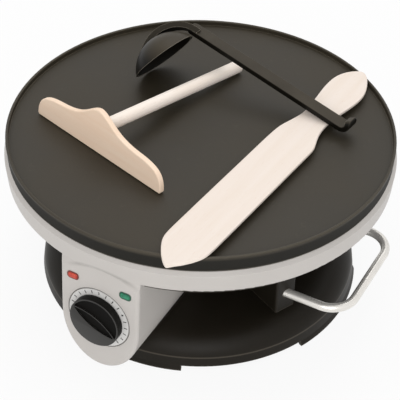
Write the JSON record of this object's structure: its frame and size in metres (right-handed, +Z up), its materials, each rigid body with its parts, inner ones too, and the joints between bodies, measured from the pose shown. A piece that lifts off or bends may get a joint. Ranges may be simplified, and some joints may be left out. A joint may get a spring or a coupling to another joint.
{
  "type": "electric crepe maker",
  "caption": "Round electric crepe maker: flat griddle plate on a ring housing with a front dial, low base, two wire handles, and a spreader, spatula and ladle lying on the plate.",
  "frame": {"origin": "on the table, under the centre of the griddle plate", "axes": "+Z up, -Y towards the control panel, +X towards the right-hand wire handle seen from the front"},
  "size_m": [0.3378, 0.345, 0.196],
  "materials": {
    "plate_coating": "matt non-stick coating on cast aluminium",
    "steel": "plated",
    "bright_sheet": "bright rolled sheet",
    "housing_grey": "satin light grey",
    "dial_silver": "satin silver with dark printed ticks",
    "knob_black": "satin black",
    "ceramic_white": "unglazed",
    "copper": "drawn copper",
    "lens_red": "translucent red",
    "lens_green": "translucent green",
    "base_black": "fine grained black",
    "chrome": "polished",
    "rubber_black": "matt",
    "lead_sleeve": "braided glass sleeve",
    "beech": "plain sanded beech",
    "ladle_black": "satin black"
  },
  "bodies": {
    "root": {"griddle_plate": "plate_coating", "heating_element": "steel", "element_clamps": "steel", "clamp_screws": "steel", "reflector_pan": "bright_sheet", "standoffs": "steel", "plate_screws": "steel", "upper_housing": "housing_grey", "housing_screws": "steel", "dial_scale": "dial_silver", "thermostat_body": "ceramic_white", "thermostat_bracket": "steel", "thermostat_screws": "steel", "thermostat_bulb": "copper", "bulb_clip": "steel", "capillary_tube": "copper", "red_lamp_lens": "lens_red", "green_lamp_lens": "lens_green", "lamp_holders": "base_black", "underbody": "base_black", "handle_screws": "steel", "handle_right": "chrome", "handle_left": "chrome", "base_shell": "base_black", "base_column": "base_black", "column_screws": "steel", "bottom_cover": "base_black", "bottom_screws": "steel", "rubber_feet": "rubber_black", "cord_bush": "rubber_black", "cord_clamp": "base_black", "cord_clamp_screws": "steel", "terminal_block": "ceramic_white", "thermal_fuse": "ceramic_white", "earth_screw": "steel", "internal_leads": "lead_sleeve"},
    "knob_body": {"knob": "knob_black", "knob_spring": "steel", "thermostat_spindle": "steel"},
    "spatula_body": {"spatula": "beech"},
    "ladle_body": {"ladle": "ladle_black"},
    "spreader_body": {"spreader_blade": "beech", "spreader_handle": "beech"}
  },
  "joints": [
    {"name": "dial_turn", "type": "hinge", "parent": "root", "child": "knob_body", "pos_m": [0, -0.1676, 0.068], "axis": [0, 0.9976, -0.0698], "range_deg": [0, 270]},
    {"name": "spatula_lift", "type": "slide", "parent": "root", "child": "spatula_body", "axis": [0, 0, 1], "range_m": [0, 0.1]},
    {"name": "ladle_lift", "type": "slide", "parent": "spatula_body", "child": "ladle_body", "axis": [0, 0, 1], "range_m": [0, 0.1]},
    {"name": "spreader_draw", "type": "slide", "parent": "root", "child": "spreader_body", "axis": [-0.2561, -0.8925, 0.3712], "range_m": [0, 0.1]}
  ]
}
